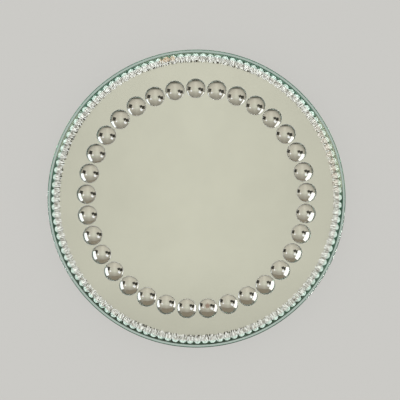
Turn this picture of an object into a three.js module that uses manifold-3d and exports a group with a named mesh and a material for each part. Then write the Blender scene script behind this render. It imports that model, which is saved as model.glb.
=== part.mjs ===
// Round mirror tray: a plate glass disc with bullseyes and a fluted rim ground into its back,
// bedded on mastic dabs over a backing board that stands on four screwed rubber feet.
// Millimetres, +Z up. The origin is on the surface that the tray stands on, under its middle.
import * as THREE from "three";
import { mergeVertices } from "three/addons/utils/BufferGeometryUtils.js";
import Module from "manifold-3d";

const wasm = await Module();
wasm.setup();

// Plate glass
const GLASS_DIAMETER = 304.8;
const GLASS_THICKNESS = 6;
const FRONT_ARRIS = 1; // width and height of the small chamfer round the front edge
const BACK_MITRE_WIDTH = 6; // how far the clear grind round the back reaches in from the edge
const BACK_MITRE_ANGLE = 20; // degrees from the back face

// Bullseyes: round hollows ground into the back in one ring
const BULLSEYE_DIAMETER = 20;
const BULLSEYE_DEPTH = 1.8;
const BULLSEYE_EDGE_DISTANCE = 39.15; // from the glass edge in to the bullseye centres
const BULLSEYE_LEAST_GAP = 1.4; // flat glass left between two neighbours

// Flutes: short grooves that a round-nosed wheel leaves across the corner of the back mitre
const FLUTE_PITCH = 7.65; // at the inner corner of the mitre
const FLUTE_LAND = 0.3; // width left between two flutes at that corner
const FLUTE_REACH = 6.3; // from that corner in to the end of a flute
const FLUTE_DEPTH = 1; // from the back face up to the deepest point of a flute
const FLUTE_WHEEL_RADIUS = 24;

// Backing board and the mastic dabs between it and the glass
const BOARD_THICKNESS = 8;
const BOARD_EDGE_DISTANCE = 2.1; // how far the board stands back from the glass edge
const BOARD_CHAMFER = 1.5;
const PAD_COUNT = 6;
const PAD_DIAMETER = 34;
const PAD_THICKNESS = 1.5;
const PAD_BULGE = 1; // how far a squeezed dab swells at half height
const PAD_BULLSEYE_DISTANCE = 8; // flat glass between a dab and the ring of bullseyes

// Feet
const FOOT_COUNT = 4;
const FOOT_TOP_DIAMETER = 22;
const FOOT_BOTTOM_DIAMETER = 18;
const FOOT_HEIGHT = 9;
const FOOT_ROUNDING = 1.2;
const FOOT_EDGE_DISTANCE = 13; // from the board's edge in to the rim of a foot
const FOOT_SEAT_THICKNESS = 3.5; // rubber between the washer and the board

// Washers and screws
const WASHER_DIAMETER = 11;
const WASHER_THICKNESS = 1;
const SCREW_DIAMETER = 3.5;
const SCREW_HEAD_DIAMETER = 7;
const SCREW_HEAD_HEIGHT = 2.4;
const SCREW_SLOT_WIDTH = 1;
const SCREW_SLOT_DEPTH = 1.1;
const SCREW_TIP_LENGTH = 2.5;
const SCREW_TIP_COVER = 1.2; // board left over the end of the pilot hole
const FIT_CLEARANCE = 0.3; // all round each screw and washer, and past the tip of a screw

// Facets
const BULLSEYE_SIDES = 20;
const BULLSEYE_RINGS = 3;
const WHEEL_SIDES = 28;
const NOSE_STEPS = 4;
const BOARD_SIDES = 72;
const PAD_SIDES = 12;
const FOOT_SIDES = 24;
const SCREW_SIDES = 16;
const ROUNDING_STEPS = 3;

// Values worked out from the sizes above
const radians = THREE.MathUtils.degToRad;
const QUARTER_TURN = Math.PI / 2;
const FULL_TURN = Math.PI * 2;

const glassRadius = GLASS_DIAMETER / 2;
const mitreInnerRadius = glassRadius - BACK_MITRE_WIDTH;
const mitreHeight = BACK_MITRE_WIDTH * Math.tan(radians(BACK_MITRE_ANGLE));
const bullseyeRingRadius = glassRadius - BULLSEYE_EDGE_DISTANCE;
const bullseyeCount = Math.floor(
  (FULL_TURN * bullseyeRingRadius) / (BULLSEYE_DIAMETER + BULLSEYE_LEAST_GAP),
);
const fluteCount = Math.floor((FULL_TURN * mitreInnerRadius) / FLUTE_PITCH);

const boardRadius = glassRadius - BOARD_EDGE_DISTANCE;
const boardBottom = FOOT_HEIGHT;
const padBottom = boardBottom + BOARD_THICKNESS;
const glassBottom = padBottom + PAD_THICKNESS;
const padRingRadius = bullseyeRingRadius - (BULLSEYE_DIAMETER + PAD_DIAMETER) / 2 - PAD_BULLSEYE_DISTANCE;

const footRingRadius = boardRadius - FOOT_EDGE_DISTANCE - FOOT_TOP_DIAMETER / 2;
const seatHeight = FOOT_HEIGHT - FOOT_SEAT_THICKNESS;
const headTop = seatHeight - WASHER_THICKNESS;
const holeRadius = SCREW_DIAMETER / 2 + FIT_CLEARANCE;
const counterboreRadius = WASHER_DIAMETER / 2 + FIT_CLEARANCE;
const pilotDepth = BOARD_THICKNESS - SCREW_TIP_COVER;
const screwTop = boardBottom + pilotDepth - FIT_CLEARANCE;

// Solids and booleans

function solidOf(geometry) {
  const bare = geometry.clone();
  bare.deleteAttribute("normal");
  bare.deleteAttribute("uv");
  const merged = mergeVertices(bare);
  return new wasm.Manifold(
    new wasm.Mesh({
      numProp: 3,
      vertProperties: merged.attributes.position.array,
      triVerts: new Uint32Array(merged.index.array),
    }),
  );
}

function geometryOf(solid) {
  const mesh = solid.getMesh();
  const geometry = new THREE.BufferGeometry();
  geometry.setAttribute("position", new THREE.BufferAttribute(mesh.vertProperties, mesh.numProp));
  geometry.setIndex(new THREE.BufferAttribute(mesh.triVerts, 1));
  geometry.computeVertexNormals();
  return geometry;
}

function cut(geometry, cutters) {
  let solid = solidOf(geometry);
  for (const cutter of cutters) {
    solid = solid.subtract(solidOf(cutter));
  }
  return geometryOf(solid);
}

// Turns a profile of [radius, height] points round the Z axis. The points run outwards along the
// bottom and back along the top, so that the faces point out.
function turned(profile, sides, startAngle = 0) {
  const points = profile.map(([radius, height]) => new THREE.Vector2(radius, height));
  return new THREE.LatheGeometry(points, sides, startAngle).rotateX(QUARTER_TURN);
}

// A copy's angle round the Z axis. The first copy is at the far side of the tray, on +Y.
function turnOf(index, count) {
  return QUARTER_TURN - (index * FULL_TURN) / count;
}

// The mirror glass

function bullseyeCutter(turn) {
  const rimRadius = BULLSEYE_DIAMETER / 2;
  const wheelRadius = (rimRadius ** 2 + BULLSEYE_DEPTH ** 2) / (2 * BULLSEYE_DEPTH);
  const centreHeight = BULLSEYE_DEPTH - wheelRadius;
  const rimAngle = Math.asin(rimRadius / wheelRadius);
  const profile = [
    [0, -BULLSEYE_DEPTH],
    [rimRadius, -BULLSEYE_DEPTH],
    [rimRadius, 0],
  ];
  for (let ring = BULLSEYE_RINGS - 1; ring >= 0; ring -= 1) {
    const angle = (ring / BULLSEYE_RINGS) * rimAngle;
    profile.push([wheelRadius * Math.sin(angle), centreHeight + wheelRadius * Math.cos(angle)]);
  }
  return turned(profile, BULLSEYE_SIDES)
    .translate(bullseyeRingRadius, 0, 0)
    .rotateZ(turn);
}

// A wheel that stands square to the rim. It meets the back face FLUTE_REACH inside the mitre, and
// its nose is as round as leaves FLUTE_LAND between two flutes at the corner of the mitre. The nose
// draws back by twice the depth of a flute before the flat sides of the wheel begin.
function fluteCutter(turn) {
  const axisHeight = FLUTE_DEPTH - FLUTE_WHEEL_RADIUS;
  const axisDistance = Math.sqrt(FLUTE_WHEEL_RADIUS ** 2 - axisHeight ** 2);
  const axisRadius = mitreInnerRadius - FLUTE_REACH + axisDistance;
  const cornerHeight = Math.sqrt(FLUTE_WHEEL_RADIUS ** 2 - (axisDistance - FLUTE_REACH) ** 2);
  const cornerDepth = axisHeight + cornerHeight;
  const halfWidth = ((FULL_TURN * mitreInnerRadius) / fluteCount - FLUTE_LAND) / 2;
  const noseRadius = (halfWidth ** 2 + cornerDepth ** 2) / (2 * cornerDepth);
  const noseAngle = Math.acos(1 - (2 * FLUTE_DEPTH) / noseRadius);
  const halfThickness = noseRadius * Math.sin(noseAngle);
  const profile = [[0, -halfThickness]];
  for (let step = 0; step <= NOSE_STEPS; step += 1) {
    const angle = ((2 * step) / NOSE_STEPS - 1) * noseAngle;
    const reach = FLUTE_WHEEL_RADIUS - noseRadius + noseRadius * Math.cos(angle);
    profile.push([reach, noseRadius * Math.sin(angle)]);
  }
  profile.push([0, halfThickness]);
  return turned(profile, WHEEL_SIDES)
    .rotateX(QUARTER_TURN)
    .translate(axisRadius, 0, axisHeight)
    .rotateZ(turn);
}

function mirrorGlass() {
  const profile = [
    [0, 0],
    [mitreInnerRadius, 0],
    [glassRadius, mitreHeight],
    [glassRadius, GLASS_THICKNESS - FRONT_ARRIS],
    [glassRadius - FRONT_ARRIS, GLASS_THICKNESS],
    [0, GLASS_THICKNESS],
  ];
  const halfFlute = Math.PI / fluteCount;
  const disc = turned(profile, fluteCount, halfFlute);
  const cutters = [];
  for (let index = 0; index < bullseyeCount; index += 1) {
    cutters.push(bullseyeCutter(turnOf(index, bullseyeCount)));
  }
  for (let index = 0; index < fluteCount; index += 1) {
    cutters.push(fluteCutter(turnOf(index, fluteCount)));
  }
  return cut(disc, cutters);
}

// The backing board and the mastic

function pilotHole(turn) {
  return new THREE.CylinderGeometry(holeRadius, holeRadius, 2 * pilotDepth, SCREW_SIDES)
    .rotateX(QUARTER_TURN)
    .translate(footRingRadius, 0, 0)
    .rotateZ(turn);
}

function baseBoard() {
  const profile = [
    [0, 0],
    [boardRadius - BOARD_CHAMFER, 0],
    [boardRadius, BOARD_CHAMFER],
    [boardRadius, BOARD_THICKNESS - BOARD_CHAMFER],
    [boardRadius - BOARD_CHAMFER, BOARD_THICKNESS],
    [0, BOARD_THICKNESS],
  ];
  const holes = [];
  for (let index = 0; index < FOOT_COUNT; index += 1) {
    holes.push(pilotHole(footTurn(index)));
  }
  return cut(turned(profile, BOARD_SIDES), holes);
}

function masticPad() {
  const radius = PAD_DIAMETER / 2;
  const profile = [
    [0, 0],
    [radius, 0],
    [radius + PAD_BULGE, PAD_THICKNESS / 2],
    [radius, PAD_THICKNESS],
    [0, PAD_THICKNESS],
  ];
  return turned(profile, PAD_SIDES);
}

// Feet, washers and screws, each modelled round its own axis with the standing surface at zero

// The feet stand on the diagonals.
function footTurn(index) {
  return turnOf(index + 1 / 2, FOOT_COUNT);
}

function rubberFoot() {
  const bottomRadius = FOOT_BOTTOM_DIAMETER / 2;
  const profile = [
    [holeRadius, seatHeight],
    [counterboreRadius, seatHeight],
    [counterboreRadius, 0],
  ];
  for (let step = 0; step <= ROUNDING_STEPS; step += 1) {
    const angle = (step / ROUNDING_STEPS) * QUARTER_TURN;
    const inset = FOOT_ROUNDING * (1 - Math.sin(angle));
    const lift = FOOT_ROUNDING * (1 - Math.cos(angle));
    profile.push([bottomRadius - inset, lift]);
  }
  profile.push([FOOT_TOP_DIAMETER / 2, FOOT_HEIGHT]);
  profile.push([holeRadius, FOOT_HEIGHT]);
  profile.push([holeRadius, seatHeight]);
  return turned(profile, FOOT_SIDES);
}

function footWasher() {
  const outerRadius = WASHER_DIAMETER / 2;
  const profile = [
    [holeRadius, headTop],
    [outerRadius, headTop],
    [outerRadius, seatHeight],
    [holeRadius, seatHeight],
    [holeRadius, headTop],
  ];
  return turned(profile, SCREW_SIDES);
}

// A slotted round-head wood screw, head down
function footScrew() {
  const headRadius = SCREW_HEAD_DIAMETER / 2;
  const shankRadius = SCREW_DIAMETER / 2;
  const profile = [];
  for (let step = 0; step <= ROUNDING_STEPS; step += 1) {
    const angle = (step / ROUNDING_STEPS) * QUARTER_TURN;
    profile.push([headRadius * Math.sin(angle), headTop - SCREW_HEAD_HEIGHT * Math.cos(angle)]);
  }
  profile.push([shankRadius, headTop]);
  profile.push([shankRadius, screwTop - SCREW_TIP_LENGTH]);
  profile.push([0, screwTop]);
  const slot = new THREE.BoxGeometry(SCREW_HEAD_DIAMETER, SCREW_SLOT_WIDTH, 2 * SCREW_SLOT_DEPTH)
    .translate(0, 0, headTop - SCREW_HEAD_HEIGHT);
  return cut(turned(profile, SCREW_SIDES), [slot]);
}

// Assembly

const silveredGlass = new THREE.MeshStandardMaterial({ color: 0xc8c9b7, roughness: 0.05, metalness: 1 });
const mastic = new THREE.MeshStandardMaterial({ color: 0x3b3a36, roughness: 0.8, metalness: 0 });
const paintedBoard = new THREE.MeshStandardMaterial({ color: 0x1c4a3a, roughness: 0.7, metalness: 0 });
const rubber = new THREE.MeshStandardMaterial({ color: 0x1f1f1e, roughness: 0.85, metalness: 0 });
const steel = new THREE.MeshStandardMaterial({ color: 0xb4b2ac, roughness: 0.35, metalness: 1 });

function place(parent, name, geometry, material, height = 0) {
  const mesh = new THREE.Mesh(geometry, material);
  mesh.name = name;
  mesh.position.z = height;
  parent.add(mesh);
}

// A group on a ring round the tray's middle, for the pieces that stand at that place
function ringGroup(parent, radius, turn) {
  const group = new THREE.Group();
  group.position.set(radius * Math.cos(turn), radius * Math.sin(turn), 0);
  group.rotation.z = turn;
  parent.add(group);
  return group;
}

const tray = new THREE.Group();
tray.name = "mirror_tray";
place(tray, "mirror_glass", mirrorGlass(), silveredGlass, glassBottom);
place(tray, "base_board", baseBoard(), paintedBoard, boardBottom);
for (let index = 0; index < PAD_COUNT; index += 1) {
  const spot = ringGroup(tray, padRingRadius, turnOf(index, PAD_COUNT));
  place(spot, `mastic_pad_${index + 1}`, masticPad(), mastic, padBottom);
}
for (let index = 0; index < FOOT_COUNT; index += 1) {
  const spot = ringGroup(tray, footRingRadius, footTurn(index));
  place(spot, `foot_${index + 1}`, rubberFoot(), rubber);
  place(spot, `foot_washer_${index + 1}`, footWasher(), steel);
  place(spot, `foot_screw_${index + 1}`, footScrew(), steel);
}

export default tray;
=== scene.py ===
"""Dresses the round mirror tray: silvered plate glass with ground bullseyes and a fluted rim, on a painted board."""
import math

import bmesh
import bpy
from bpy.props import FloatProperty, FloatVectorProperty, IntProperty, PointerProperty
from bpy.types import Operator, Panel, PropertyGroup
from mathutils import Matrix, Vector, noise


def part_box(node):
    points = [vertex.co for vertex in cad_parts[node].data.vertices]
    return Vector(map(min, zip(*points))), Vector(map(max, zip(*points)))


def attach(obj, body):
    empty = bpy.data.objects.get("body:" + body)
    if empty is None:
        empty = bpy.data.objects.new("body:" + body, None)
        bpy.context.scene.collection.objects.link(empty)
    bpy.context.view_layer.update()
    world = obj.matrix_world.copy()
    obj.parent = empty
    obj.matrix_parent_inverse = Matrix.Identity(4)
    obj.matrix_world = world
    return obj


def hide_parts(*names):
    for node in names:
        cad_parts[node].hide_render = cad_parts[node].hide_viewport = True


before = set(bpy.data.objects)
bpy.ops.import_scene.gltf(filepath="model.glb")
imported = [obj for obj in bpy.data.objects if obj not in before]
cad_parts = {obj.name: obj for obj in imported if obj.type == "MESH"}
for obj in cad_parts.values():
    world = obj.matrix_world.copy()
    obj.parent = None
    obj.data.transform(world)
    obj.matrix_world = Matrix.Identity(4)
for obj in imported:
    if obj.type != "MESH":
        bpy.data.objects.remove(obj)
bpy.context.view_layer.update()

bl_info = {
    "name": "Mirror tray",
    "version": (1, 0, 0),
    "blender": (4, 5, 0),
    "location": "View3D > Sidebar > Mirror tray",
    "description": "Builds a round mirror tray with bullseyes and a fluted rim, and the studio round it",
    "category": "Mesh",
}


def numbered(start):
    """The CAD nodes whose names are this start and a number, in order."""
    return sorted(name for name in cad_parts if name.startswith(start) and name[len(start):].isdigit())


GLASS_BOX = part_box("mirror_glass")
BOARD_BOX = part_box("base_board")
GLASS_RADIUS, GLASS_BACK, GLASS_FRONT = GLASS_BOX[1].x, GLASS_BOX[0].z, GLASS_BOX[1].z
BOARD_RADIUS, BOARD_UNDER, BOARD_TOP = BOARD_BOX[1].x, BOARD_BOX[0].z, BOARD_BOX[1].z
PAD_NODES = numbered("mastic_pad_")
FOOT_NODES = numbered("foot_")
WASHER_NODES = numbered("foot_washer_")
SCREW_NODES = numbered("foot_screw_")

FULL_TURN = 2 * math.pi
QUARTER_TURN = math.pi / 2

# Facets: round a full turn, and along a curve that is then spun
DISC_FACETS_PER_FLUTE = 3
BULLSEYE_FACETS, BULLSEYE_CURVE = 72, 18
FLUTE_NOSE, FLUTE_CURVE = 40, 34
BOARD_FACETS, DRILL_FACETS = 240, 32
DAB_FACETS = 96
FOOT_FACETS, WASHER_FACETS = 96, 64
SCREW_FACETS, HEAD_CURVE, THREAD_FACETS = 64, 12, 24
ROUNDING_FACETS = 4
FLAT_FACE = 0.99  # least share of its normal that points up or down

# Cutting tools
OVERCUT = 1.05  # how far a bullseye's tool goes on past its edge
FLUTE_ARC_START, FLUTE_ARC = math.radians(-40), math.radians(68)  # the part of the wheel that is modelled
THREAD_ROOT, THREAD_FLANK = 0.8, 0.3  # where a ridge starts in the core, and its half width in pitches
DAB_LOBES, DAB_VARIETY = 1.6, 40  # how often a dab's edge runs in and out, and how much the dabs differ

# Marks of use, dark specks, painted shade round the bullseyes, painted warm reflections and a paler far edge on the
# board. Clocks are in degrees: 0 is at the far side, and they run clockwise seen from above.
RUST_CLOCK, RUST_RADIUS, RUST_REACH, RUST_SHARE = 174.5, 0.1105, 0.0035, 0.7
SPECK_CLOCKS, SPECK_REACH = (2.0, 182.0, 292.0), 0.08
TARNISH_CLOCKS, TARNISH_REACH = (346.5, 348.5, 350.5), 0.004
# Painted warm reflection on the grooves near the right side
WARM_REFLECTION_CLOCK, WARM_REFLECTION_REACH, WARM_REFLECTION_SHARE = 74.0, 0.052, 0.22
# Painted reflections: pale patches on the board's upper edge
REFLECTION_PATCHES = ((71.0, 0.046, 0.9), (297.0, 0.03, 0.7), (354.0, 0.05, 0.3))  # clock, reach, share
RIM_SHADE_SHARE, PALER_FAR_SHARE, DUST_SHARE = 0.6, 0.7, 0.35
# Zones of the silver, outwards from the corner where the mitre begins, or from a bullseye's edge
SPECK_ZONE = (-0.0069, -0.006, -0.0047, -0.0036)
SCUFFED_ZONE, SCUFFED_FRAY = (-0.0062, -0.0042), 0.002
FLUTE_END_ZONE = (-0.001, 0.001)
RIM_SHADE_ZONE = (-0.0007, -0.0002, 0.0, 0.0002)
STREAKS_ACROSS, STREAKS_ALONG = 750.0, 260.0  # per metre
# The upper edge of the board, upwards from its top
UPPER_ZONE, REFLECTION_FRAY = (-0.0016, -0.001), 0.02


# Settings

def length(name, default, description):
    return FloatProperty(name=name, default=default, description=description, subtype="DISTANCE", unit="LENGTH",
                         precision=5)


def angle(name, degrees, description):
    return FloatProperty(name=name, default=math.radians(degrees), description=description, subtype="ANGLE",
                         unit="ROTATION")


def factor(name, default, description):
    return FloatProperty(name=name, default=default, description=description, subtype="FACTOR", min=0.0, max=1.0)


def level(name, default, description):
    return FloatProperty(name=name, default=default, description=description, min=0.0)


def count(name, default, description):
    return IntProperty(name=name, default=default, description=description, min=1)


def linear(red, green, blue):
    """A colour given in display values from 0 to 255, as the linear values that shaders take."""
    steps = (red / 255, green / 255, blue / 255)
    return tuple(v / 12.92 if v <= 0.04045 else ((v + 0.055) / 1.055) ** 2.4 for v in steps)


def colour(name, display, description):
    return FloatVectorProperty(name=name, default=linear(*display), description=description, subtype="COLOR", size=3,
                               min=0.0, soft_max=1.0)


class TrayGlass(PropertyGroup):
    """The plate glass disc with what is ground into its back."""

    arris: length("Front arris", 0.0008, "Width of the small chamfer round the front edge")
    arris_rounding: length("Arris rounding", 0.0005, "Rounding of the corners of that chamfer and of the edge")
    mitre_width: length("Mitre width", 0.00595, "How far the clear grind round the back reaches in")
    mitre_angle: angle("Mitre angle", 20, "Angle of that grind from the back face")
    bullseyes: count("Bullseyes", 33, "Number of round hollows in the ring")
    bullseye_diameter: length("Bullseye diameter", 0.02, "Width of one hollow")
    bullseye_depth: length("Bullseye depth", 0.0018, "Depth of one hollow")
    bullseye_ring: length("Bullseye ring", 0.11324, "Radius of the ring of hollows")
    flutes: count("Flutes", 120, "Number of grooves round the rim")
    flute_land: length("Flute land", 0.0003, "Width left between two grooves at the mitre")
    flute_reach: length("Flute reach", 0.0063, "From the mitre in to the end of a groove")
    flute_depth: length("Flute depth", 0.001, "Deepest point of a groove above the back face")
    flute_wheel: length("Flute wheel", 0.024, "Radius of the wheel that grinds the grooves")
    tint: colour("Glass tint", (201, 236, 224), "Colour of light that has passed through thick glass")
    tint_density: level("Tint density", 6.0, "How fast the glass takes up light, per metre")
    edge_tint: colour("Edge tint", (206, 242, 231), "Colour that the clear rim gives to what is seen through it")
    silver: colour("Silver", (246, 246, 244), "Colour of the silver behind the glass")
    rust: colour("Rust", (150, 96, 78), "Colour of the spot in one bullseye")
    # Painted shade: the dark ring along the edge of each bullseye
    wear_and_painted_shade: colour("Worn silver", (70, 60, 48), "Colour along the edge of a bullseye, where the silver is thin")
    # Also the colour of the painted warm reflection on the grooves near the right side
    tarnish_and_warm_reflection: colour("Tarnish", (214, 178, 136), "Colour where the silver of a few grooves has gone brown")
    silver_roughness: factor("Silver roughness", 0.02, "Roughness of the flat silver")
    flute_white: colour("Flute white", (254, 254, 250), "Ground glass along the middle of a groove")
    # Painted shade down the sides of the grooves; also the tone of dull grinding streaks
    side_shade_and_dull_streak: colour("Flute side", (150, 143, 132), "Silver along the sides of a groove")
    # Painted light: the glow of light through the clear green rim, at the grooves' outer ends
    painted_rim_light: colour("Flute ends", (230, 250, 242), "Silver where the grooves run out at the rim")
    # Tone of the dark specks where the grooves begin
    dark_specks: colour("Grime", (58, 54, 44), "Specks at the inner ends of the grooves")
    flute_roughness: factor("Flute roughness", 0.12, "Roughness of the silver in the grooves")
    middle_polish: factor("Middle polish", 0.2, "How far the middle of a groove mirrors")
    side_polish: factor("Side polish", 0.5, "How far the sides of a groove mirror")


class TrayBoard(PropertyGroup):
    """The painted board and the mastic that holds the glass to it."""

    chamfer: length("Board chamfer", 0.0015, "Chamfer round both edges of the board")
    rounding: length("Board rounding", 0.0006, "Rounding of the corners of that chamfer")
    pilot_hole: length("Pilot hole", 0.0041, "Diameter of the holes for the screws")
    pilot_cover: length("Pilot cover", 0.0012, "Board left over the end of a pilot hole")
    paint: colour("Board paint", (5, 88, 61), "Dark green paint on the board")
    fibre: colour("Fibre", (112, 82, 56), "Board that shows where its corners are knocked")
    # Paler along the far half of the board's upper edge
    paler_far_edge: colour("Faded paint", (150, 190, 172), "Paint bleached along the far half of the upper edge")
    # Painted reflection: the pale patches on the board's upper edge
    painted_reflection_tone: colour("Bare board", (250, 230, 206), "Pale primer where the paint is rubbed off the upper edge")
    mastic: colour("Mastic", (60, 58, 54), "Cured mastic")
    coat: length("Coat", 0.0001, "Thickness of silver and paint between mastic and glass")
    pad_swell: length("Pad swell", 0.001, "How far a squeezed dab swells at half height")
    pad_wander: length("Pad wander", 0.0008, "How far the edge of a dab runs out of round")


class TrayFeet(PropertyGroup):
    """The rubber feet with their washers and screws."""

    bottom_diameter: length("Foot bottom", 0.018, "Diameter of a foot where it stands")
    rounding: length("Foot rounding", 0.0012, "Rounding of a foot's lower edge")
    lip_rounding: length("Lip rounding", 0.0003, "Rounding of a foot's upper edge and of its counterbore")
    hole: length("Screw hole", 0.0041, "Diameter of the hole through foot and washer")
    counterbore: length("Counterbore", 0.0116, "Diameter of the hollow for washer and screw head")
    rubber: colour("Rubber", (34, 34, 33), "Moulded rubber")
    dust: colour("Dust", (96, 94, 90), "Dust on the rubber")
    washer_rounding: length("Washer rounding", 0.00015, "Rounding of a washer's corners")
    head_height: length("Head height", 0.0024, "Height of a screw's round head")
    head_diameter: length("Head diameter", 0.007, "Diameter of a screw's head")
    shank_diameter: length("Shank diameter", 0.0035, "Diameter over the thread of a screw")
    core_diameter: length("Core diameter", 0.0026, "Diameter of a screw between its threads")
    plain_neck: length("Plain neck", 0.004, "Length of a screw between its head and its thread")
    thread_pitch: length("Thread pitch", 0.0014, "Rise of the thread in one turn")
    tip: length("Screw tip", 0.0025, "Length of a screw's point")
    slot_width: length("Slot width", 0.001, "Width of the slot in a screw's head")
    slot_depth: length("Slot depth", 0.0011, "Depth of the slot in a screw's head")
    zinc: colour("Zinc", (196, 195, 190), "Zinc plated steel")


class TrayStage(PropertyGroup):
    """The floor, the light and the camera."""

    floor: colour("Floor", (203, 202, 198), "Pale floor")
    floor_size: length("Floor size", 12.0, "Side of the square floor")
    floor_glow: factor("Floor glow", 0.85, "Share of the floor's colour that doesn't take a shadow")
    fill: level("Fill light", 0.94, "Strength of the plain light from all round")
    flute_light: level("Flute light", 3.0, "Strength of the plain light that reaches ground glass through the front")
    key_power: level("Key power", 4.2, "Power of the large softbox overhead, in watts")
    key_size: length("Key size", 2.5, "Side of that softbox")
    key_place: FloatVectorProperty(name="Key place", default=(-0.4, 0.5, 2.0), description="Middle of that softbox",
                                   subtype="TRANSLATION", unit="LENGTH", size=3)
    room: colour("Room", (213, 211, 194), "The room straight overhead, as the mirror shows it")
    walls: colour("Walls", (215, 209, 192), "The room further from overhead, as the bullseyes show it")
    corners: colour("Room corners", (48, 40, 30), "The darker parts of that room")
    window: level("Window", 1.5, "Brightness of the two white screens")
    strip: level("Strip", 24.0, "Brightness of the low screens that light the edge of the glass")
    lamp: level("Lamp", 1.0, "Brightness of the two small lamps")
    shade: colour("Shade", (134, 124, 107), "The dim things in front of the tray")
    daylight: colour("Daylight", (246, 250, 250), "Colour of the white screen on the left")
    lamplight: colour("Lamplight", (255, 253, 246), "Colour of the white screen on the right")
    camera_height: length("Camera height", 0.64, "From the mirror up to the camera")
    camera_lens: FloatProperty(name="Lens", default=56.45, description="Focal length", subtype="DISTANCE_CAMERA",
                               unit="CAMERA")
    camera_x: length("Camera right", 0.0035, "How far the camera stands right of the tray's middle")
    camera_y: length("Camera far", -0.0015, "How far the camera stands beyond the tray's middle")
    camera_roll: angle("Camera roll", -0.41, "How far the camera is turned round its line of sight")


def mitre_corner(settings):
    """The radius where the flat back ends and the clear mitre begins."""
    return GLASS_RADIUS - settings.mitre_width


# Shaders

class Graph:
    """A node tree that is written as expressions."""

    def __init__(self, owner):
        owner.use_nodes = True
        self.tree = owner.node_tree
        self.tree.nodes.clear()

    def node(self, kind, settings=None, inputs=None, output=0):
        """Adds a node, sets it up, fills or links its inputs and returns one of its outputs."""
        made = self.tree.nodes.new("ShaderNode" + kind)
        for name, value in (settings or {}).items():
            setattr(made, name, value)
        for name, value in (inputs or {}).items():
            socket = made.inputs[name]
            if isinstance(value, Value):
                self.tree.links.new(value.socket, socket)
            elif socket.type == "RGBA" and len(value) == 3:
                socket.default_value = (*value, 1.0)
            else:
                socket.default_value = value
        return Value(self, made.outputs[output]) if made.outputs else made

    def math(self, operation, first, second=0.0):
        return self.node("Math", {"operation": operation}, {0: first, 1: second})


class Value:
    """A socket. Arithmetic on it adds Math nodes to its tree."""

    def __init__(self, graph, socket):
        self.graph = graph
        self.socket = socket

    def __add__(self, other):
        return self.graph.math("ADD", self, other)

    def __radd__(self, other):
        return self.graph.math("ADD", other, self)

    def __sub__(self, other):
        return self.graph.math("SUBTRACT", self, other)

    def __rsub__(self, other):
        return self.graph.math("SUBTRACT", other, self)

    def __mul__(self, other):
        return self.graph.math("MULTIPLY", self, other)

    def __rmul__(self, other):
        return self.graph.math("MULTIPLY", other, self)

    def __truediv__(self, other):
        return self.graph.math("DIVIDE", self, other)

    def __pow__(self, other):
        return self.graph.math("POWER", self, other)


def blend(graph, mask, first, second):
    """The first colour where the mask is 0 and the second where it is 1."""
    return graph.node("Mix", {"data_type": "RGBA"}, {0: mask, 6: first, 7: second}, 2)


def toned(tone, share):
    """A darker or lighter copy of a colour."""
    return tuple(min(1.0, value * share) for value in tone)


def mottled(graph, mask, tone, low, high):
    """One colour, times low where the mask is 0 and times high where it is 1."""
    return blend(graph, mask, toned(tone, low), toned(tone, high))


def span(graph, value, low, high):
    """0 where the value is at low, 1 where it is at high, smooth in between."""
    return graph.node("MapRange", {"interpolation_type": "SMOOTHSTEP"},
                      {"Value": value, "From Min": low, "From Max": high})


def zone(graph, value, begins, full, fades, ends):
    """1 where the value is between full and fades, 0 outside begins and ends, smooth in between."""
    return span(graph, value, begins, full) * (1.0 - span(graph, value, fades, ends))


def grain(graph, place, scale, detail=3.0):
    """Plain noise from 0 to 1."""
    return graph.node("TexNoise", None, {"Vector": place, "Scale": scale, "Detail": detail})


def parts(graph, place):
    """How far a point lies right, far and up."""
    return [graph.node("SeparateXYZ", None, {0: place}, axis) for axis in "XYZ"]


def polar(radius, clock_degrees, height):
    """A point at a clock angle."""
    turn = math.radians(clock_degrees)
    return (radius * math.sin(turn), radius * math.cos(turn), height)


def near(graph, place, centre, inner, outer, fray):
    """1 within the inner distance of a point, 0 beyond the outer one, where a value frays the distance."""
    away = graph.node("VectorMath", {"operation": "DISTANCE"}, {0: place, 1: centre}, "Value")
    return 1.0 - span(graph, away + fray, inner, outer)


def spot(graph, place, clock, radius, height, reach):
    """A ragged spot that falls off to its reach."""
    fray = (grain(graph, place, scale=900.0) - 0.5) * reach
    return near(graph, place, polar(radius, clock, height), reach * 0.4, reach, fray)


def bumps(graph, height, strength, distance):
    """A normal that follows a value as a height."""
    return graph.node("Bump", None, {"Strength": strength, "Distance": distance, "Height": height})


def surface(graph, **inputs):
    """A Principled shader whose inputs are named in lower case."""
    named = {name.replace("_", " ").title().replace("Ior", "IOR"): value for name, value in inputs.items()}
    return graph.node("BsdfPrincipled", None, named)


def material(name):
    """A new material and its empty graph."""
    made = bpy.data.materials.new(name)
    return made, Graph(made)


def finish_material(graph, shader, volume=None):
    links = {"Surface": shader}
    if volume:
        links["Volume"] = volume
    graph.node("OutputMaterial", None, links)


def object_place(graph):
    return graph.node("TexCoord", None, None, "Object")


def round_axis(graph, place):
    """A point's distance from the tray's axis and its clock angle in radians."""
    right, far, _ = parts(graph, place)
    return (right * right + far * far) ** 0.5, graph.math("ARCTAN2", right, far)


def grinding(graph, out, turn):
    """Fine streaks that run outwards, from 0 in a dull streak to 1 in a bright one."""
    streaky = graph.node("CombineXYZ", None, {0: turn * (GLASS_RADIUS * STREAKS_ACROSS), 1: out * STREAKS_ALONG})
    return span(graph, grain(graph, streaky, scale=1.0, detail=2.0), 0.36, 0.64)


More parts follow.
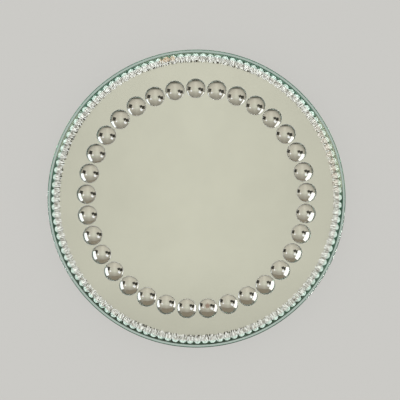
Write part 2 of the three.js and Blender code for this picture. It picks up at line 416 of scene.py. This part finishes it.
def dark_specks(graph, place, streak, past, corner):
    """Specks that sit in dull streaks where the grooves begin, here and there round the rim."""
    begin = zone(graph, past, *SPECK_ZONE) * (1.0 - span(graph, streak, 0.1, 0.5))
    speck_places = sum(spot(graph, place, clock, corner, GLASS_BACK, SPECK_REACH) for clock in SPECK_CLOCKS)
    return span(graph, begin * speck_places, 0.14, 0.5)


def plate_glass(settings, name, tone):
    """Clear glass that gives a tone to what passes its surface, and its own tint to what passes through it."""
    made, graph = material(name)
    wipe = span(graph, grain(graph, object_place(graph), scale=60.0), 0.35, 0.8)
    shader = surface(graph, base_color=tone, roughness=wipe * 0.006, ior=1.52, transmission_weight=1.0)
    depth = graph.node("VolumeAbsorption", None, {"Color": settings.tint, "Density": settings.tint_density})
    finish_material(graph, shader, depth)
    return made


def bullseye_edge(graph, settings, out, turn):
    """The narrow ring along the edge of each bullseye, which takes a painted dark rim of shade."""
    share = FULL_TURN / settings.bullseyes
    within = (graph.math("FRACT", turn / share + 0.5) - 0.5) * share
    beside = out * graph.math("SINE", within)
    beyond = out * graph.math("COSINE", within) - settings.bullseye_ring
    away = (beside * beside + beyond * beyond) ** 0.5
    return zone(graph, away - settings.bullseye_diameter / 2, *RIM_SHADE_ZONE)


def mirror_silver(settings):
    """Silver behind flat glass and bullseyes: clouded, with painted shade as a dark ring round each bullseye, and
    scuffed near the grooves.
    """
    made, graph = material("mirror_silver")
    place = object_place(graph)
    out, turn = round_axis(graph, place)
    cloud = span(graph, grain(graph, place, scale=34.0, detail=4.0), 0.3, 0.75)
    fine = grain(graph, place, scale=420.0, detail=5.0)
    shade = mottled(graph, cloud * 0.5 + fine * 0.25, settings.silver, 1.0, 0.94)
    rust = spot(graph, place, RUST_CLOCK, RUST_RADIUS, GLASS_BACK + settings.bullseye_depth, RUST_REACH)
    shade = blend(graph, rust * RUST_SHARE, shade, settings.rust)
    # Painted shade: a dark, dull ring along each bullseye's edge
    wear_and_painted_shade = bullseye_edge(graph, settings, out, turn) * RIM_SHADE_SHARE
    shade = blend(graph, wear_and_painted_shade, shade, settings.wear_and_painted_shade)
    corner = mitre_corner(settings)
    past = out - corner
    streak = grinding(graph, out, turn)
    scuffed = span(graph, past + (fine - 0.5) * SCUFFED_FRAY, *SCUFFED_ZONE)
    shade = blend(graph, scuffed, shade, blend(graph, streak, settings.side_shade_and_dull_streak, settings.flute_white))
    specks = dark_specks(graph, place, streak, past, corner)
    shade = blend(graph, specks, shade, settings.dark_specks)
    shader = surface(graph, base_color=shade, metallic=(1.0 - wear_and_painted_shade) * (1.0 - scuffed * 0.7) * (1.0 - specks),
                     roughness=settings.silver_roughness + cloud * 0.01)
    finish_material(graph, shader)
    return made


def flute_silver(settings):
    """Silver in the grooves: white along their middles with painted shade down their sides, painted light where they
    run out, specked where they begin, and a painted warm reflection near the right.
    """
    made, graph = material("flute_silver")
    place = object_place(graph)
    out, turn = round_axis(graph, place)
    corner = mitre_corner(settings)
    past = out - corner
    across = graph.math("FRACT", turn * (settings.flutes / FULL_TURN) + 0.5)
    side = graph.math("ABSOLUTE", across * 2.0 - 1.0)
    sideways = graph.math("SINE", turn) ** 2.0
    # Painted shade: the sides of each groove darker than its middle, most at left and right, where the light falls
    # across the grooves
    flank = span(graph, side, 0.45, 0.9) * (0.1 + 0.6 * sideways)
    streak = grinding(graph, out, turn)
    dull = 1.0 - (1.0 - flank) * (0.3 + 0.7 * streak)
    shade = blend(graph, dull, settings.flute_white, settings.side_shade_and_dull_streak)
    # Painted light: the grooves' outer ends take the colour of light coming through the clear green rim
    shade = blend(graph, span(graph, past, *FLUTE_END_ZONE), shade, settings.painted_rim_light)
    specks = dark_specks(graph, place, streak, past, corner)
    shade = blend(graph, specks, shade, settings.dark_specks)
    for clock in TARNISH_CLOCKS:
        brown = spot(graph, place, clock, corner, GLASS_BACK + settings.flute_depth, TARNISH_REACH)
        shade = blend(graph, brown * (1.0 - streak * 0.6), shade, settings.tarnish_and_warm_reflection)
    # Painted reflection: a warm patch on the grooves near the right side
    warm_reflection = spot(graph, place, WARM_REFLECTION_CLOCK, corner, GLASS_BACK, WARM_REFLECTION_REACH)
    shade = blend(graph, warm_reflection * WARM_REFLECTION_SHARE, shade, settings.tarnish_and_warm_reflection)
    polish = settings.middle_polish + dull * (settings.side_polish - settings.middle_polish)
    shader = surface(graph, base_color=shade, metallic=polish * (1.0 - specks), roughness=settings.flute_roughness)
    finish_material(graph, shader)
    return made


def board_paint(settings):
    """Brushed paint, knocked at the corners, paler along the far half of the upper edge, and with painted reflections
    as pale patches on that edge.
    """
    made, graph = material("board_paint")
    place = object_place(graph)
    brushed = graph.node("Mapping", None, {"Vector": place, "Scale": (1.0, 6.0, 1.0)})
    stroke = grain(graph, brushed, scale=120.0, detail=4.0)
    wear_and_painted_shade = grain(graph, place, scale=260.0, detail=5.0)
    shade = mottled(graph, span(graph, stroke, 0.3, 0.75), settings.paint, 0.8, 1.2)
    pointiness = graph.node("NewGeometry", None, None, "Pointiness")
    knocked = span(graph, pointiness, 0.52, 0.6) * span(graph, wear_and_painted_shade, 0.5, 0.62)
    shade = blend(graph, knocked, shade, settings.fibre)
    _, _, height = parts(graph, place)
    upper = span(graph, height - BOARD_TOP, *UPPER_ZONE)
    _, turn = round_axis(graph, place)
    # Paler along the far half of the upper edge
    far_half = span(graph, graph.math("COSINE", turn) + wear_and_painted_shade * 0.3, 0.0, 0.7)
    shade = blend(graph, far_half * upper * PALER_FAR_SHARE, shade, settings.paler_far_edge)
    fray = (wear_and_painted_shade - 0.5) * REFLECTION_FRAY
    # Painted reflection: pale patches on the upper edge, where warm light shows at the rim
    for clock, reach, share in REFLECTION_PATCHES:
        reflection_patch = near(graph, place, polar(BOARD_RADIUS, clock, BOARD_TOP), reach * 0.75, reach, fray)
        shade = blend(graph, reflection_patch * upper * share, shade, settings.painted_reflection_tone)
    shader = surface(graph, base_color=shade, roughness=0.55 + stroke * 0.25,
                     normal=bumps(graph, stroke, strength=0.25, distance=0.0002))
    finish_material(graph, shader)
    return made


def cured_mastic(settings):
    """Lumpy, half dull mastic."""
    made, graph = material("cured_mastic")
    lumps = grain(graph, object_place(graph), scale=500.0, detail=4.0)
    shade = mottled(graph, lumps, settings.mastic, 0.7, 1.25)
    finish_material(graph, surface(graph, base_color=shade, roughness=0.6 + lumps * 0.3,
                                   normal=bumps(graph, lumps, strength=0.4, distance=0.0002)))
    return made


def moulded_rubber(settings):
    """Matt rubber with a pebbled skin and some dust."""
    made, graph = material("moulded_rubber")
    place = object_place(graph)
    pebble = grain(graph, place, scale=2600.0)
    dust = span(graph, grain(graph, place, scale=180.0, detail=5.0), 0.5, 0.8)
    shade = blend(graph, dust * DUST_SHARE, settings.rubber, settings.dust)
    finish_material(graph, surface(graph, base_color=shade, roughness=0.7 + pebble * 0.2,
                                   normal=bumps(graph, pebble, strength=0.35, distance=0.0001)))
    return made


def zinc_plate(settings):
    """Zinc with small crystals and scuffs."""
    made, graph = material("zinc_plate")
    place = object_place(graph)
    crystals = graph.node("TexVoronoi", None, {"Vector": place, "Scale": 900.0}, "Color")
    patch = graph.node("SeparateColor", None, {"Color": crystals})
    scuff = grain(graph, place, scale=1400.0, detail=4.0)
    shade = mottled(graph, patch, settings.zinc, 0.82, 1.0)
    finish_material(graph, surface(graph, base_color=shade, metallic=1.0, roughness=0.28 + scuff * 0.2,
                                   normal=bumps(graph, scuff, strength=0.1, distance=0.00005)))
    return made


# Shapes

def outline(points):
    """A bmesh that holds a line of straight edges through (radius, height, rounding) points in the XZ plane."""
    mesh = bmesh.new()
    corners = [mesh.verts.new((radius, 0.0, height)) for radius, height, _ in points]
    for first, second in zip(corners, corners[1:]):
        mesh.edges.new((first, second))
    sizes = {rounding for _, _, rounding in points if rounding}
    for size in sorted(sizes):
        chosen = [corner for corner, (_, _, rounding) in zip(corners, points) if rounding == size]
        bmesh.ops.bevel(mesh, geom=chosen, offset=size, offset_type="OFFSET", affect="VERTICES",
                        segments=ROUNDING_FACETS, profile=0.5, material=-1)
    return mesh


def tidy(mesh):
    """Merges doubles and turns every face outwards."""
    bmesh.ops.remove_doubles(mesh, verts=mesh.verts, dist=1e-7)
    bmesh.ops.recalc_face_normals(mesh, faces=mesh.faces)
    return mesh


def turned(mesh, facets):
    """Spins the lines of a bmesh once round Z."""
    bmesh.ops.spin(mesh, geom=mesh.verts[:] + mesh.edges[:], cent=(0, 0, 0), axis=(0, 0, 1), angle=FULL_TURN,
                   steps=facets, use_merge=True)
    return tidy(mesh)


def swept(mesh, **path):
    """Spins the faces of a bmesh round the origin into a closed body."""
    bmesh.ops.spin(mesh, geom=mesh.faces[:] + mesh.edges[:] + mesh.verts[:], cent=(0, 0, 0), **path)
    return tidy(mesh)


def moved(mesh, matrix):
    bmesh.ops.transform(mesh, matrix=matrix, verts=mesh.verts)
    return mesh


def centred(mesh, centre):
    """Moves what was spun round Z to a piece's own middle."""
    return moved(mesh, Matrix.Translation((centre.x, centre.y, 0)))


def mesh_of(name, mesh, *materials):
    """A bmesh as mesh data. The bmesh is used up."""
    data = bpy.data.meshes.new(name)
    for made in materials:
        data.materials.append(made)
    mesh.to_mesh(data)
    mesh.free()
    return data


def placed(name, data):
    """A new object in the scene."""
    made = bpy.data.objects.new(name, data)
    bpy.context.scene.collection.objects.link(made)
    return made


def blank(name, mesh, *materials):
    """A bmesh as a plain object that still has to be finished."""
    return placed(name, mesh_of(name, mesh, *materials))


def repeats(name, data, matrices):
    """Objects that share one mesh, one for each matrix."""
    made = []
    for index, matrix in enumerate(matrices):
        copy = placed(f"{name}_{index}", data)
        copy.matrix_world = matrix
        made.append(copy)
    return made


def cut(name, body, cutters, operation="DIFFERENCE"):
    """Takes every cutter out of the body, and returns the result as a mesh. Body and cutters are used up."""
    tools = bpy.data.collections.new(name + "_tools")
    bpy.context.scene.collection.children.link(tools)
    for cutter in cutters:
        bpy.context.scene.collection.objects.unlink(cutter)
        tools.objects.link(cutter)
    cutting = body.modifiers.new(name, "BOOLEAN")
    cutting.operation = operation
    cutting.solver = "MANIFOLD"
    cutting.operand_type = "COLLECTION"
    cutting.collection = tools
    cutting.material_mode = "TRANSFER"
    depsgraph = bpy.context.evaluated_depsgraph_get()
    data = bpy.data.meshes.new_from_object(body.evaluated_get(depsgraph))
    spent = {body.data, *(cutter.data for cutter in cutters)}
    for used in (body, *cutters):
        bpy.data.objects.remove(used)
    for used in spent:
        bpy.data.meshes.remove(used)
    bpy.data.collections.remove(tools)
    return data


def piece(name, data, slot, *nodes, sharp_degrees=30.0):
    """A finished piece in place of its CAD nodes, shaded smooth but for its sharp edges."""
    data.name = name
    data.shade_smooth()
    data.set_sharp_from_angle(angle=math.radians(sharp_degrees))
    made = placed(name, data)
    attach(made, "root")
    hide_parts(*nodes)


def ring(number, radius, height):
    """Places round the tray, the first at its far side."""
    turns = (QUARTER_TURN - index * FULL_TURN / number for index in range(number))
    return [Matrix.Rotation(turn, 4, "Z") @ Matrix.Translation((radius, 0, height)) for turn in turns]


def extent(node):
    """The lowest and highest corners of a CAD node's box, and its middle."""
    low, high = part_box(node)
    return low, high, (low + high) / 2


# Operators

class TRAY_OT_glass(Operator):
    """Spin the glass disc and grind the bullseyes and the flutes into its back"""

    bl_idname = "tray.glass"
    bl_label = "Mirror glass"

    def disc(self, settings, clear, silver, edge):
        """The plain disc: clear in front, silvered behind, with a clear edge and mitre."""
        rise = settings.mitre_width * math.tan(settings.mitre_angle)
        soft = settings.arris_rounding
        mesh = outline([
            (0.0, GLASS_BACK, 0.0),
            (mitre_corner(settings), GLASS_BACK, 0.0),
            (GLASS_RADIUS, GLASS_BACK + rise, soft),
            (GLASS_RADIUS, GLASS_FRONT - settings.arris, soft),
            (GLASS_RADIUS - settings.arris, GLASS_FRONT, soft),
            (0.0, GLASS_FRONT, 0.0),
        ])
        turned(mesh, DISC_FACETS_PER_FLUTE * settings.flutes)
        for face in mesh.faces:
            up = face.normal.z
            face.material_index = 0 if up > FLAT_FACE else 1 if up < -FLAT_FACE else 2
        return blank("glass_disc", mesh, clear, silver, edge)

    def bullseye(self, settings, silver):
        """The cap of a ball that hollows one bullseye, with its edge at the back face."""
        rim = settings.bullseye_diameter / 2
        depth = settings.bullseye_depth
        ball = (rim ** 2 + depth ** 2) / (2 * depth)
        reach = math.asin(rim / ball) * OVERCUT
        mesh = bmesh.new()
        top = mesh.verts.new((0.0, 0.0, depth))
        bmesh.ops.spin(mesh, geom=[top], cent=(0, 0, depth - ball), axis=(0, 1, 0), angle=reach, steps=BULLSEYE_CURVE)
        end = max(mesh.verts, key=lambda corner: corner.co.x)
        under = bmesh.ops.extrude_vert_indiv(mesh, verts=[end])["verts"]
        bmesh.ops.translate(mesh, verts=under, vec=(0, 0, -depth))
        base = bmesh.ops.extrude_vert_indiv(mesh, verts=under)["verts"]
        bmesh.ops.translate(mesh, verts=base, vec=(-base[0].co.x, 0, 0))
        return mesh_of("bullseye_tool", turned(mesh, BULLSEYE_FACETS), silver)

    def flute(self, settings, silver):
        """The round-nosed edge of the wheel that grinds one groove and runs out through the mitre."""
        wheel = settings.flute_wheel
        drop = wheel - settings.flute_depth
        corner = mitre_corner(settings)
        reach = math.sqrt(wheel ** 2 - drop ** 2)
        depth = math.sqrt(wheel ** 2 - (reach - settings.flute_reach) ** 2) - drop
        half = (FULL_TURN * corner / settings.flutes - settings.flute_land) / 2
        nose = (half ** 2 + depth ** 2) / (2 * depth)
        mesh = bmesh.new()
        start = mesh.verts.new((0.0, -nose, wheel - nose))
        bmesh.ops.spin(mesh, geom=[start], cent=(0, 0, wheel - nose), axis=(-1, 0, 0), angle=math.pi, steps=FLUTE_NOSE)
        bmesh.ops.contextual_create(mesh, geom=mesh.verts[:])
        moved(mesh, Matrix.Rotation(FLUTE_ARC_START, 4, "Y"))
        swept(mesh, axis=(0, 1, 0), angle=FLUTE_ARC, steps=FLUTE_CURVE)
        moved(mesh, Matrix.Translation((corner - settings.flute_reach + reach, 0, -drop)))
        return mesh_of("flute_tool", mesh, silver)

    def execute(self, context):
        settings = context.scene.tray_glass
        clear = plate_glass(settings, "plate_glass", (1.0, 1.0, 1.0))
        edge = plate_glass(settings, "edge_glass", settings.edge_tint)
        silver = mirror_silver(settings)
        tools = repeats("bullseye_tool", self.bullseye(settings, silver),
                        ring(settings.bullseyes, settings.bullseye_ring, GLASS_BACK))
        tools += repeats("flute_tool", self.flute(settings, flute_silver(settings)),
                         ring(settings.flutes, 0.0, GLASS_BACK))
        data = cut("mirror_glass_fine", self.disc(settings, clear, silver, edge), tools)
        piece("mirror_glass_fine", data, "silvered_glass", "mirror_glass", sharp_degrees=5.0)
        return {"FINISHED"}


class TRAY_OT_board(Operator):
    """Spin the painted board and drill its pilot holes"""

    bl_idname = "tray.board"
    bl_label = "Board"

    def execute(self, context):
        settings = context.scene.tray_board
        chamfer, soft = settings.chamfer, settings.rounding
        mesh = turned(outline([
            (0.0, BOARD_UNDER, 0.0),
            (BOARD_RADIUS - chamfer, BOARD_UNDER, soft),
            (BOARD_RADIUS, BOARD_UNDER + chamfer, soft),
            (BOARD_RADIUS, BOARD_TOP - chamfer, soft),
            (BOARD_RADIUS - chamfer, BOARD_TOP, soft),
            (0.0, BOARD_TOP, 0.0),
        ]), BOARD_FACETS)
        paint = board_paint(settings)
        body = blank("board_blank", mesh, paint)
        deep = BOARD_TOP - BOARD_UNDER - settings.pilot_cover
        drill = bmesh.new()
        bmesh.ops.create_cone(drill, cap_ends=True, segments=DRILL_FACETS, radius1=settings.pilot_hole / 2,
                              radius2=settings.pilot_hole / 2, depth=2 * deep)
        centres = (extent(name)[2] for name in SCREW_NODES)
        places = [Matrix.Translation((centre.x, centre.y, BOARD_UNDER)) for centre in centres]
        tools = repeats("drill", mesh_of("drill", drill, paint), places)
        piece("board_painted", cut("board_painted", body, tools), "backing_board", "base_board")
        return {"FINISHED"}


class TRAY_OT_mastic(Operator):
    """Squeeze the dabs of mastic between board and glass"""

    bl_idname = "tray.mastic"
    bl_label = "Mastic"

    def execute(self, context):
        settings = context.scene.tray_board
        tone = cured_mastic(settings)
        for name in PAD_NODES:
            low, high, centre = extent(name)
            radius = (high.y - low.y) / 2 - settings.pad_swell - settings.pad_wander
            top = high.z - settings.coat
            mesh = centred(turned(outline([
                (0.0, low.z, 0.0),
                (radius, low.z, 0.0),
                (radius + settings.pad_swell, centre.z, settings.pad_swell / 2),
                (radius, top, 0.0),
                (0.0, top, 0.0),
            ]), DAB_FACETS), centre)
            for corner in mesh.verts:
                out = Vector((corner.co.x - centre.x, corner.co.y - centre.y, 0))
                run = noise.noise(out.normalized() * DAB_LOBES + centre * DAB_VARIETY) if out.length else 0.0
                corner.co += out * (run * settings.pad_wander / radius)
            piece(name + "_dab", mesh_of(name + "_dab", mesh, tone), "mastic", name)
        return {"FINISHED"}


class TRAY_OT_feet(Operator):
    """Spin the moulded rubber feet"""

    bl_idname = "tray.feet"
    bl_label = "Rubber feet"

    def execute(self, context):
        settings = context.scene.tray_feet
        rubber = moulded_rubber(settings)
        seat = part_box(WASHER_NODES[0])[1].z
        bottom, lip = settings.bottom_diameter / 2, settings.lip_rounding
        hole, bore = settings.hole / 2, settings.counterbore / 2
        for name in FOOT_NODES:
            low, high, centre = extent(name)
            top = (high.x - low.x) / 2
            mesh = centred(turned(outline([
                (hole, seat, 0.0),
                (bore, seat, 0.0),
                (bore, low.z, lip),
                (bottom, low.z, settings.rounding),
                (top, high.z, lip),
                (hole, high.z, 0.0),
                (hole, seat, 0.0),
            ]), FOOT_FACETS), centre)
            piece(name + "_moulded", mesh_of(name + "_moulded", mesh, rubber), "foot_rubber", name)
        return {"FINISHED"}


class TRAY_OT_washers(Operator):
    """Spin the zinc plated washers"""

    bl_idname = "tray.washers"
    bl_label = "Washers"

    def execute(self, context):
        settings = context.scene.tray_feet
        zinc = zinc_plate(settings)
        hole, soft = settings.hole / 2, settings.washer_rounding
        for name in WASHER_NODES:
            low, high, centre = extent(name)
            outer = (high.x - low.x) / 2
            mesh = centred(turned(outline([
                (hole, centre.z, 0.0),
                (hole, low.z, soft),
                (outer, low.z, soft),
                (outer, high.z, soft),
                (hole, high.z, soft),
                (hole, centre.z, 0.0),
            ]), WASHER_FACETS), centre)
            piece(name + "_plated", mesh_of(name + "_plated", mesh, zinc), "steel", name)
        return {"FINISHED"}


class TRAY_OT_screws(Operator):
    """Turn the round-head screws, wind their threads and cut their slots"""

    bl_idname = "tray.screws"
    bl_label = "Screws"

    def core(self, settings, seat, top):
        """The round head under its seat and the core up to its point."""
        head, core = settings.head_diameter / 2, settings.core_diameter / 2
        mesh = bmesh.new()
        start = mesh.verts.new((0.0, 0.0, seat - head))
        bmesh.ops.spin(mesh, geom=[start], cent=(0, 0, seat), axis=(0, -1, 0), angle=QUARTER_TURN, steps=HEAD_CURVE)
        bmesh.ops.scale(mesh, vec=(1, 1, settings.head_height / head), verts=mesh.verts,
                        space=Matrix.Translation((0, 0, -seat)))
        last = max(mesh.verts, key=lambda corner: corner.co.x)
        for place in ((core, 0, seat), (core, 0, top - settings.tip), (0, 0, top)):
            following = mesh.verts.new(place)
            mesh.edges.new((last, following))
            last = following
        return turned(mesh, SCREW_FACETS)

    def thread(self, settings, bottom, top):
        """One turn of a ridge after another, as a closed strip that sinks into the core."""
        root, outer = settings.core_diameter / 2 * THREAD_ROOT, settings.shank_diameter / 2
        pitch = settings.thread_pitch
        flank = pitch * THREAD_FLANK
        turns = (top - bottom) / pitch
        steps = round(THREAD_FACETS * turns)
        mesh = bmesh.new()
        ridge = ((root, 0.0, bottom - flank), (outer, 0.0, bottom), (root, 0.0, bottom + flank))
        mesh.faces.new([mesh.verts.new(place) for place in ridge])
        return swept(mesh, axis=(0, 0, 1), dvec=(0, 0, pitch * turns / steps), angle=FULL_TURN * turns, steps=steps)

    def slot(self, settings, bottom):
        """The block that cuts the slot across a head."""
        mesh = bmesh.new()
        bmesh.ops.create_cube(mesh, size=1.0)
        size = Matrix.Diagonal((1.5 * settings.head_diameter, settings.slot_width, 2 * settings.slot_depth, 1))
        return moved(mesh, Matrix.Translation((0, 0, bottom)) @ size)

    def execute(self, context):
        settings = context.scene.tray_feet
        zinc = bpy.data.materials.get("zinc_plate") or zinc_plate(settings)
        for index, name in enumerate(SCREW_NODES):
            low, high, centre = extent(name)
            seat = low.z + settings.head_height
            body = blank("screw_blank", self.core(settings, seat, high.z), zinc)
            thread = self.thread(settings, seat + settings.plain_neck, high.z - settings.tip)
            wound = cut("screw_wound", body, [blank("screw_thread", thread, zinc)], "UNION")
            slot = blank("screw_slot", self.slot(settings, low.z), zinc)
            data = cut("screw_slotted", placed("screw_wound", wound), [slot])
            turn = QUARTER_TURN * 0.5 - index * QUARTER_TURN
            data.transform(Matrix.Translation((centre.x, centre.y, 0)) @ Matrix.Rotation(turn, 4, "Z"))
            piece(name + "_slotted", data, "steel", name)
        return {"FINISHED"}


class TRAY_OT_stage(Operator):
    """Lay the floor, hang the light and set up the camera"""

    bl_idname = "tray.stage"
    bl_label = "Stage"

    def ray(self, graph, *names):
        """What the Light Path node gives under one name, or the largest that it gives under several."""
        first, *others = (graph.node("LightPath", None, None, name) for name in names)
        for other in others:
            first = graph.math("MAXIMUM", first, other)
        return first

    def floor(self, settings):
        """A pale floor that glows a little, so that it takes only a faint shadow."""
        mesh = bmesh.new()
        bmesh.ops.create_grid(mesh, x_segments=1, y_segments=1, size=settings.floor_size / 2)
        made, graph = material("studio_floor")
        shade = mottled(graph, grain(graph, object_place(graph), scale=300.0), settings.floor, 0.99, 1.01)
        lit = surface(graph, base_color=shade, roughness=0.9, specular_ior_level=0.0)
        glow = graph.node("Emission", None, {"Color": shade})
        seen = self.ray(graph, "Is Camera Ray", "Is Glossy Ray", "Is Transmission Ray")
        finish_material(graph, graph.node("MixShader", None, {0: seen * settings.floor_glow, 1: lit, 2: glow}))
        blank("studio_floor", mesh, made)

    def world(self, settings):
        """A room for reflections, the floor's colour for the camera, and plain light for everything else."""
        made = bpy.data.worlds.new("studio_world")
        bpy.context.scene.world = made
        graph = Graph(made)
        right, far, up = parts(graph, graph.node("TexCoord", None, None, "Generated"))
        aside = graph.math("ABSOLUTE", right)
        lit = 1.0
        for way, bright, dim, share in (
            (up, 0.9, 0.1, 0.58),  # down the walls
            (far, -0.08, -0.24, 0.16),  # overhead, towards the near side
            (far, -0.1, -0.7, 0.4),  # down the near wall
            (aside, -0.02, 0.3, 0.14),  # overhead, to both sides
            (far, 0.82, 0.94, 0.8),  # low on the far wall
        ):
            lit = (1.0 - span(graph, way, bright, dim) * share) * lit
        overhead = blend(graph, span(graph, up, 0.88, 0.98), settings.walls, settings.room)
        room = blend(graph, lit, settings.corners, overhead)
        through = self.ray(graph, "Is Transmission Ray")
        shown = graph.math("GREATER_THAN", self.ray(graph, "Is Glossy Ray", "Is Transmission Ray"),
                           self.ray(graph, "Diffuse Depth"))
        straight = graph.math("LESS_THAN", self.ray(graph, "Glossy Depth"), 1.5)  # met no more than one mirror
        strength = settings.fill + through * (straight * settings.flute_light - settings.fill)
        plain = graph.node("Background", None, {"Color": (1.0, 1.0, 1.0), "Strength": strength})
        backdrop = graph.node("Background", None, {"Color": settings.floor, "Strength": 1.0})
        around = graph.node("Background", None, {"Color": room, "Strength": 1.0})
        shader = graph.node("MixShader", None, {0: self.ray(graph, "Is Camera Ray"), 1: plain, 2: backdrop})
        shader = graph.node("MixShader", None, {0: shown, 1: shader, 2: around})
        graph.node("OutputWorld", None, {"Surface": shader})

    def screen(self, name, off_zenith, clock, away, wide, tall, tone, glow, soft=0.06):
        """A flat screen with soft edges, turned to the tray's middle, that only reflections show."""
        tilt = math.radians(off_zenith)
        flat = Vector(polar(math.sin(tilt), clock, math.cos(tilt)))
        side = Vector((0, 0, 1)).cross(flat).normalized()
        axes = Matrix((side, flat.cross(side), flat)).transposed().to_4x4()
        mesh = bmesh.new()
        mesh.loops.layers.uv.new()
        bmesh.ops.create_grid(mesh, x_segments=1, y_segments=1, size=0.5, calc_uvs=True,
                              matrix=Matrix.Translation(flat * away) @ axes @ Matrix.Diagonal((wide, tall, 1, 1)))
        made, graph = material(name)
        shown = 1.0
        for at in parts(graph, graph.node("TexCoord", None, None, "UV"))[:2]:
            border = graph.math("MINIMUM", at, 1.0 - at)
            shown = span(graph, border, 0.0, soft) * shown
        lit = graph.node("Emission", None, {"Color": tone, "Strength": glow})
        finish_material(graph, graph.node("MixShader", None, {0: shown, 1: graph.node("BsdfTransparent"), 2: lit}))
        board = blank(name, mesh, made)
        board.visible_camera = False
        board.visible_diffuse = False
        board.visible_shadow = False

    def screens(self, settings):
        """What the mirror and the bullseyes show besides the room."""
        white, dark = (1.0, 1.0, 1.0), (0.02, 0.018, 0.014)
        cool, warm = settings.daylight, settings.lamplight
        # Name, degrees off the zenith, clock, distance, width, height, colour, brightness, share of soft edge
        for row in (
            ("white_screen_left", 74.4, 254, 0.445, 0.34, 0.34, cool, settings.window, 0.07),
            ("white_screen_right", 75.6, 113.5, 0.363, 0.31, 0.37, warm, settings.window, 0.07),
            ("strip_left", 87.7, 256, 0.43, 0.3, 0.035, cool, settings.strip * 0.5),
            ("strip_right", 87.1, 114.5, 0.35, 0.25, 0.035, warm, settings.strip),
            ("dim_screen_front", 65.0, 180, 0.43, 0.5, 0.35, settings.shade, 1.0),
            ("lamp_right", 31, 117, 3.0, 0.7, 1.0, white, settings.lamp),
            ("lamp_left", 31, 260, 3.0, 0.46, 0.5, white, settings.lamp),
            ("dark_screen_near", 25.5, 71.0, 3.0, 0.82, 0.98, dark, 1.0),
            ("dark_screen_right", 42.0, 87.0, 3.0, 1.08, 1.34, dark, 1.0),
            ("dark_screen_left", 48.5, 284.0, 3.0, 1.22, 1.46, dark, 1.0),
        ):
            self.screen(*row)

    def softbox(self, settings):
        """A large lamp overhead that neither the mirror nor the glass shows."""
        key = bpy.data.lights.new("softbox", "AREA")
        key.shape = "SQUARE"
        key.size = settings.key_size
        key.energy = settings.key_power
        lamp = placed("softbox", key)
        lamp.location = settings.key_place
        lamp.rotation_euler = Vector(settings.key_place).to_track_quat("Z", "Y").to_euler()
        lamp.visible_glossy = False
        lamp.visible_transmission = False

    def camera(self, settings, scene):
        """A camera over the tray that looks straight down."""
        eye = bpy.data.cameras.new("camera")
        eye.lens = settings.camera_lens
        eye.sensor_width = 36.0
        scene.camera = placed("camera", eye)
        scene.camera.location = (settings.camera_x, settings.camera_y, GLASS_FRONT + settings.camera_height)
        scene.camera.rotation_euler.z = settings.camera_roll

    def execute(self, context):
        scene = context.scene
        settings = scene.tray_stage
        self.floor(settings)
        self.world(settings)
        self.screens(settings)
        self.softbox(settings)
        self.camera(settings, scene)
        scene.view_settings.view_transform = "Standard"
        # Light passes the glass, meets silver and glass in turn, and comes out again
        scene.cycles.max_bounces = 32
        scene.cycles.glossy_bounces = 24
        scene.cycles.transmission_bounces = 24
        return {"FINISHED"}


class TRAY_PT_sidebar(Panel):
    """The pieces of the tray and their sizes"""

    bl_idname = "TRAY_PT_sidebar"
    bl_label = "Mirror tray"
    bl_space_type = "VIEW_3D"
    bl_region_type = "UI"
    bl_category = "Mirror tray"

    def draw(self, context):
        for operator in OPERATORS:
            self.layout.operator(operator.bl_idname)
        for name in GROUPS:
            group = getattr(context.scene, name)
            box = self.layout.box()
            for item in group.bl_rna.properties:
                if item.identifier not in ("rna_type", "name"):
                    box.prop(group, item.identifier)


GROUPS = {"tray_glass": TrayGlass, "tray_board": TrayBoard, "tray_feet": TrayFeet, "tray_stage": TrayStage}
OPERATORS = (TRAY_OT_glass, TRAY_OT_board, TRAY_OT_mastic, TRAY_OT_feet, TRAY_OT_washers, TRAY_OT_screws,
             TRAY_OT_stage)
CLASSES = (*GROUPS.values(), *OPERATORS, TRAY_PT_sidebar)


def register():
    for made in CLASSES:
        bpy.utils.register_class(made)
    for name, group in GROUPS.items():
        setattr(bpy.types.Scene, name, PointerProperty(type=group))


def unregister():
    for name in GROUPS:
        delattr(bpy.types.Scene, name)
    for made in reversed(CLASSES):
        bpy.utils.unregister_class(made)


def main():
    """Builds every piece and the stage."""
    register()
    bpy.ops.tray.glass()
    bpy.ops.tray.board()
    bpy.ops.tray.mastic()
    bpy.ops.tray.feet()
    bpy.ops.tray.washers()
    bpy.ops.tray.screws()
    bpy.ops.tray.stage()


if __name__ == "__main__":
    main()
